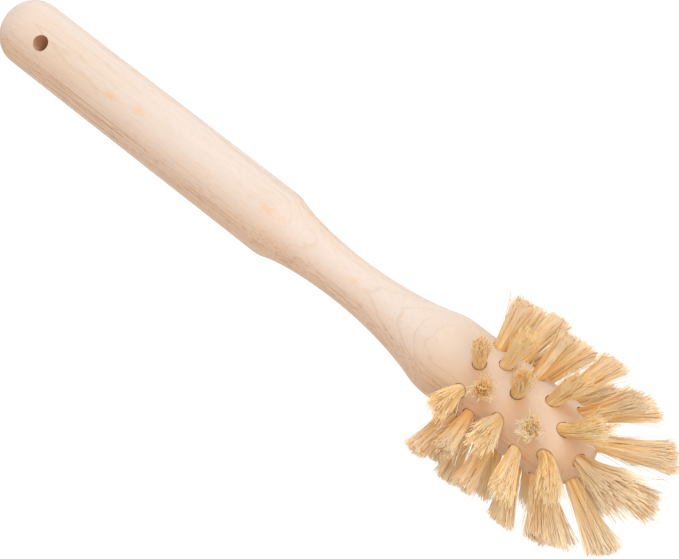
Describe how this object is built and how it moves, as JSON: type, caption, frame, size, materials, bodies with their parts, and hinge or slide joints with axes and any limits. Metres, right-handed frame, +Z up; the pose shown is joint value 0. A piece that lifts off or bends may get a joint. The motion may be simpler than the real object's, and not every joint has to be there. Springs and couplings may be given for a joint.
{
  "type": "bottle brush",
  "caption": "Turned wooden bottle brush with a straight round grip, a waisted neck and an egg-shaped head set with fanned bristle tufts, with a hanging hole near the butt.",
  "frame": {"origin": "middle of the brush's bounding box, at the height of the table that it lies on", "axes": "+X runs from the butt to the bristles, level with the table; +Z is up; the brush's own axis rises by 5.4 degrees towards +X"},
  "size_m": [0.2828, 0.0648, 0.0665],
  "materials": {
    "beech": "pale steamed beech, finely sanded and unvarnished, with fine brown ray flecks along the grain",
    "bristle": "natural blond bristle, golden at the root and paler at the split tips, dull sheen",
    "staple_wire": "drawn steel wire, hidden inside the tufts"
  },
  "bodies": {
    "root": {"beech_handle": "beech", "tuft_a1": "bristle", "tuft_a2": "bristle", "tuft_a3": "bristle", "tuft_a4": "bristle", "tuft_a5": "bristle", "tuft_a6": "bristle", "tuft_a7": "bristle", "tuft_a8": "bristle", "tuft_b1": "bristle", "tuft_b2": "bristle", "tuft_b3": "bristle", "tuft_b4": "bristle", "tuft_b5": "bristle", "tuft_b6": "bristle", "tuft_b7": "bristle", "tuft_b8": "bristle", "tuft_c1": "bristle", "tuft_c2": "bristle", "tuft_c3": "bristle", "tuft_c4": "bristle", "tuft_c5": "bristle", "tuft_c6": "bristle", "tuft_c7": "bristle", "tuft_c8": "bristle", "tuft_d1": "bristle", "tuft_d2": "bristle", "tuft_d3": "bristle", "tuft_d4": "bristle", "tuft_d5": "bristle", "tuft_d6": "bristle", "tuft_d7": "bristle", "tuft_d8": "bristle", "tuft_e1": "bristle", "tuft_e2": "bristle", "tuft_e3": "bristle", "tuft_e4": "bristle", "tuft_e5": "bristle", "tuft_e6": "bristle", "tuft_e7": "bristle", "tuft_e8": "bristle", "tuft_f1": "bristle", "tuft_f2": "bristle", "tuft_f3": "bristle", "tuft_f4": "bristle"}
  },
  "joints": []
}
